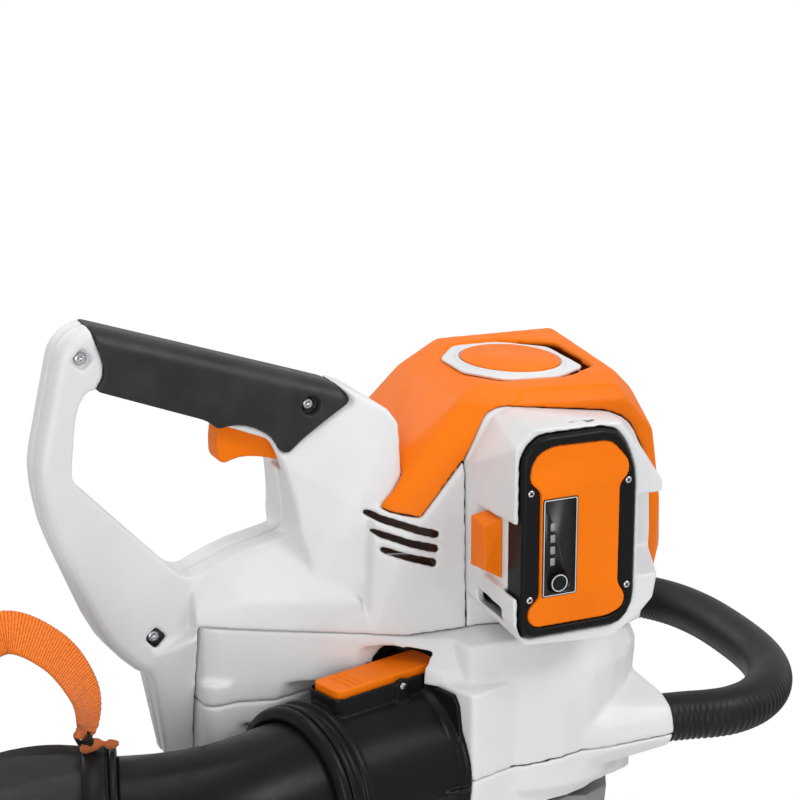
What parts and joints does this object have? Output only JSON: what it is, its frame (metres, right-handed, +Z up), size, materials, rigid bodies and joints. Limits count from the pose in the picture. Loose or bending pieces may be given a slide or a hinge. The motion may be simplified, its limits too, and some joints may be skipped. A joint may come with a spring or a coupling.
{
  "type": "leaf vacuum mulcher",
  "caption": "Hand-held leaf vacuum mulcher: battery motor housing over a fan volute, rear handle loop, front bow, suction tube and side catch bag.",
  "frame": {"origin": "middle of the rear grip, on the plane between the two housing halves", "axes": "+X towards the front bow, +Y away from the battery, +Z up along the fan axis"},
  "size_m": [0.7832, 0.3115, 1.1321],
  "materials": {
    "white_shell": "fine satin moulding",
    "orange_shell": "satin orange moulding",
    "black_shell": "fine satin moulding",
    "soft_grip": "matt soft grip",
    "ribbed_hose": "matt ribbed hose",
    "grey_part": "matt moulding",
    "wheel": "glass-filled moulding",
    "steel": "plain",
    "core_tube": "drawn tube",
    "copper": "wound copper",
    "board": "coated board",
    "mesh_cloth": "coarse woven mesh",
    "webbing": "woven strap"
  },
  "bodies": {
    "machine": {"housing_right": "white_shell", "housing_left": "white_shell", "grip_cover": "soft_grip", "trigger_pin": "steel", "handle_screw_rear": "steel", "handle_screw_lower": "steel", "grip_screw": "steel", "motor_hood": "orange_shell", "badge_plate": "white_shell", "badge_disc": "orange_shell", "battery_bezel": "white_shell", "terminal_block": "black_shell", "fan_cover": "white_shell", "fan_base": "white_shell", "motor_plate": "grey_part", "motor_stator": "copper", "stator_cap": "grey_part", "bearing_lower": "steel", "bearing_upper": "steel", "control_board": "board", "outlet_socket": "black_shell", "latch_pin": "steel", "bow_core": "core_tube", "bow_grip": "ribbed_hose", "intake_ring": "black_shell"},
    "rotor": {"motor_rotor": "steel", "motor_shaft": "steel", "cooling_fan": "black_shell", "impeller": "wheel", "cutter_blade": "steel", "impeller_nut": "steel"},
    "trigger_lever": {"trigger": "orange_shell"},
    "battery": {"battery_case": "black_shell", "battery_insert": "orange_shell", "battery_label": "black_shell"},
    "test_button": {"battery_button": "black_shell"},
    "battery_catch": {"battery_latch": "orange_shell"},
    "outlet_lever": {"outlet_latch": "orange_shell"},
    "catch_bag": {"elbow": "black_shell", "elbow_collar": "black_shell", "neck_flange": "black_shell", "bag": "mesh_cloth", "neck_band": "black_shell", "bag_strap": "webbing"},
    "suction_tube": {"suction_tube_upper": "black_shell", "suction_tube_lower": "black_shell"},
    "tube_end": {"nozzle": "black_shell"},
    "tube_lock": {"locking_tab": "grey_part"}
  },
  "joints": [
    {"name": "impeller_spin", "type": "hinge", "parent": "machine", "child": "rotor", "pos_m": [0.205, 0, -0.23], "axis": [0, 0, 1], "continuous": true},
    {"name": "trigger_pull", "type": "hinge", "parent": "machine", "child": "trigger_lever", "pos_m": [0.0367, 0, -0.0255], "axis": [0, 1, 0], "range_deg": [0, 10], "stiffness_Nm_per_rad": 0.9, "springref_deg": -14.32},
    {"name": "battery_slide", "type": "slide", "parent": "machine", "child": "battery", "axis": [0, -1, 0], "range_m": [0, 0.12]},
    {"name": "test_button_press", "type": "slide", "parent": "battery", "child": "test_button", "axis": [0, 1, 0], "range_m": [0, 0.0012], "stiffness_N_per_m": 400, "springref_m": -0.001},
    {"name": "battery_catch_slide", "type": "slide", "parent": "machine", "child": "battery_catch", "axis": [-0.9945, 0, -0.1045], "range_m": [0, 0.003], "stiffness_N_per_m": 600, "springref_m": -0.002},
    {"name": "outlet_lever_press", "type": "hinge", "parent": "machine", "child": "outlet_lever", "pos_m": [0.1021, -0.0727, -0.1795], "axis": [0.2574, -0.9659, 0.0271], "range_deg": [0, 5], "stiffness_Nm_per_rad": 1.2, "springref_deg": -11.46},
    {"name": "elbow_swivel", "type": "hinge", "parent": "machine", "child": "catch_bag", "pos_m": [0.1334, -0.066, -0.2375], "axis": [-0.9606, -0.2588, -0.101], "range_deg": [-10, 20]},
    {"name": "tube_twist", "type": "hinge", "parent": "machine", "child": "suction_tube", "pos_m": [0.205, 0, -0.3], "axis": [0, 0, 1], "range_deg": [0, 30]},
    {"name": "nozzle_turn", "type": "hinge", "parent": "suction_tube", "child": "tube_end", "pos_m": [0.205, 0, -0.93], "axis": [0, 0, 1], "range_deg": [-90, 90]},
    {"name": "tube_lock_push", "type": "slide", "parent": "machine", "child": "tube_lock", "axis": [-0.8211, 0.5708, 0], "range_m": [0, 0.004], "stiffness_N_per_m": 500, "springref_m": -0.003}
  ]
}
